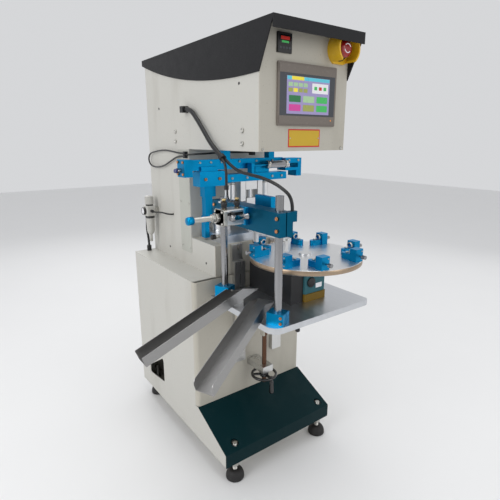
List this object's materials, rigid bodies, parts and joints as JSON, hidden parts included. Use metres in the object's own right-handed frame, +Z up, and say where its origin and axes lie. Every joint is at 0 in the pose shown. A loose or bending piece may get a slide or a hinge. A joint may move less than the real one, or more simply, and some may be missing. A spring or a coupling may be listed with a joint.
{
  "type": "pad printing machine with rotary index table",
  "caption": "Floor-standing pad printing machine: head with touch panel, print carriage, rotary fixture disc, unloader and drop chutes.",
  "frame": {"origin": "middle of the footprint of the whole machine, on the floor", "axes": "+X to the operator's right, +Y to the back, +Z up"},
  "size_m": [0.713, 0.9015, 1.383],
  "materials": {
    "side_paint": "fine satin powder coat, cream grey",
    "front_paint": "satin paint, warm grey",
    "hood_paint": "black wrinkle paint",
    "foot_paint": "dark teal satin paint",
    "blue_aluminium": "blue anodised",
    "steel": "ground and brushed",
    "chrome": "hard chrome",
    "bare_aluminium": "turned",
    "black_plastic": "satin",
    "yellow_plastic": "moulded",
    "red_plastic": "moulded",
    "grey_plastic": "moulded",
    "rubber": "black",
    "silicone": "smooth silicone",
    "screw_steel": "browned",
    "teal_paint": "satin paint",
    "cord_black": "smooth jacket",
    "pale_plastic": "moulded"
  },
  "bodies": {
    "machine": {"left_side_plate": "side_paint", "right_side_plate": "side_paint", "head_front_panel": "front_paint", "throat_liner": "side_paint", "deck_cover": "front_paint", "back_panels": "side_paint", "hood": "hood_paint", "cabinet_left_panel": "side_paint", "cabinet_right_panel": "side_paint", "cabinet_front_panel": "front_paint", "cabinet_top_panel": "side_paint", "base_plate": "front_paint", "foot_cover": "foot_paint", "levelling_feet": "rubber", "touch_panel": "grey_plastic", "batch_counter": "black_plastic", "stop_shroud": "yellow_plastic", "guide_ways": "steel", "control_unit": "grey_plastic", "carriage_drive": "steel", "plate_bed": "steel", "air_regulator": "pale_plastic", "cable_fittings": "black_plastic", "air_hose": "cord_black", "regulator_tube": "cord_black", "loom_trunk": "cord_black", "loom_branch": "cord_black", "loom_drop": "cord_black", "cylinder_tubes": "cord_black", "spare_loop": "cord_black", "head_hose": "cord_black"},
    "stop_button": {"stop_button": "red_plastic"},
    "regulator_knob": {"regulator_knob": "pale_plastic"},
    "table": {"table_plate": "steel", "knee_bracket": "front_paint", "index_unit": "teal_paint", "motor_cover": "black_plastic", "transfer_posts": "chrome", "post_clamps": "blue_aluminium", "transfer_beam": "blue_aluminium", "transfer_cylinder": "bare_aluminium", "rear_chute": "steel", "front_chute": "steel", "lift_screw": "screw_steel"},
    "handwheel": {"handwheel": "black_plastic"},
    "crank_handle": {"crank_handle": "black_plastic"},
    "index_disc": {"index_shaft": "bare_aluminium", "index_disc": "bare_aluminium", "work_fixtures": "blue_aluminium", "nest_screws": "chrome"},
    "transfer_carriage": {"transfer_carriage": "blue_aluminium"},
    "finger_bar": {"finger_bar": "bare_aluminium"},
    "carriage": {"carriage_bridge": "blue_aluminium", "shuttle_cylinder": "chrome"},
    "shuttle": {"shuttle_plate": "blue_aluminium", "ram_cylinders": "bare_aluminium"},
    "left_ram": {"left_ram": "silicone"},
    "right_ram": {"right_ram": "silicone"},
    "cups": {"ink_cups": "bare_aluminium", "cup_hanger": "blue_aluminium"}
  },
  "joints": [
    {"name": "table_lift", "type": "slide", "parent": "machine", "child": "table", "axis": [0, 0, 1], "range_m": [-0.05, 0], "deforming": ["loom_branch", "cylinder_tubes"]},
    {"name": "handwheel_turn", "type": "hinge", "parent": "machine", "child": "handwheel", "pos_m": [0.11248, -0.13625, 0.285], "axis": [0, 0, 1], "range_deg": [-3610, 10]},
    {"name": "crank_handle_spin", "type": "hinge", "parent": "handwheel", "child": "crank_handle", "pos_m": [0.11248, -0.17875, 0.285], "axis": [0, 0, 1], "continuous": true},
    {"name": "disc_index", "type": "hinge", "parent": "table", "child": "index_disc", "pos_m": [0.17648, -0.25925, 0.737], "axis": [0, 0, 1], "continuous": true},
    {"name": "transfer_slide", "type": "slide", "parent": "table", "child": "transfer_carriage", "axis": [1, 0, 0], "range_m": [0, 0.02]},
    {"name": "finger_lift", "type": "slide", "parent": "transfer_carriage", "child": "finger_bar", "axis": [0, 0, 1], "range_m": [0, 0.033]},
    {"name": "print_carriage", "type": "slide", "parent": "machine", "child": "carriage", "axis": [0, -1, 0], "range_m": [0, 0.1045]},
    {"name": "pad_shuttle", "type": "slide", "parent": "carriage", "child": "shuttle", "axis": [1, 0, 0], "range_m": [0, 0.044]},
    {"name": "left_ram_stroke", "type": "slide", "parent": "shuttle", "child": "left_ram", "axis": [0, 0, -1], "range_m": [0, 0.038]},
    {"name": "right_ram_stroke", "type": "slide", "parent": "shuttle", "child": "right_ram", "axis": [0, 0, -1], "range_m": [0, 0.038]},
    {"name": "cup_slide", "type": "slide", "parent": "machine", "child": "cups", "axis": [0, -1, 0], "range_m": [0, 0.0605]},
    {"name": "stop_press", "type": "slide", "parent": "machine", "child": "stop_button", "axis": [0, 1, 0], "range_m": [0, 0.004], "stiffness_N_per_m": 1500},
    {"name": "regulator_turn", "type": "hinge", "parent": "machine", "child": "regulator_knob", "pos_m": [-0.06252, 0.38875, 0.86], "axis": [0, 0, 1], "range_deg": [-720, 720]}
  ],
  "couplings": [
    {"joint": "handwheel_turn", "follows": "table_lift", "rad_per_m": 1256.6},
    {"joint": "cup_slide", "follows": "print_carriage", "ratio": 0.5742}
  ]
}
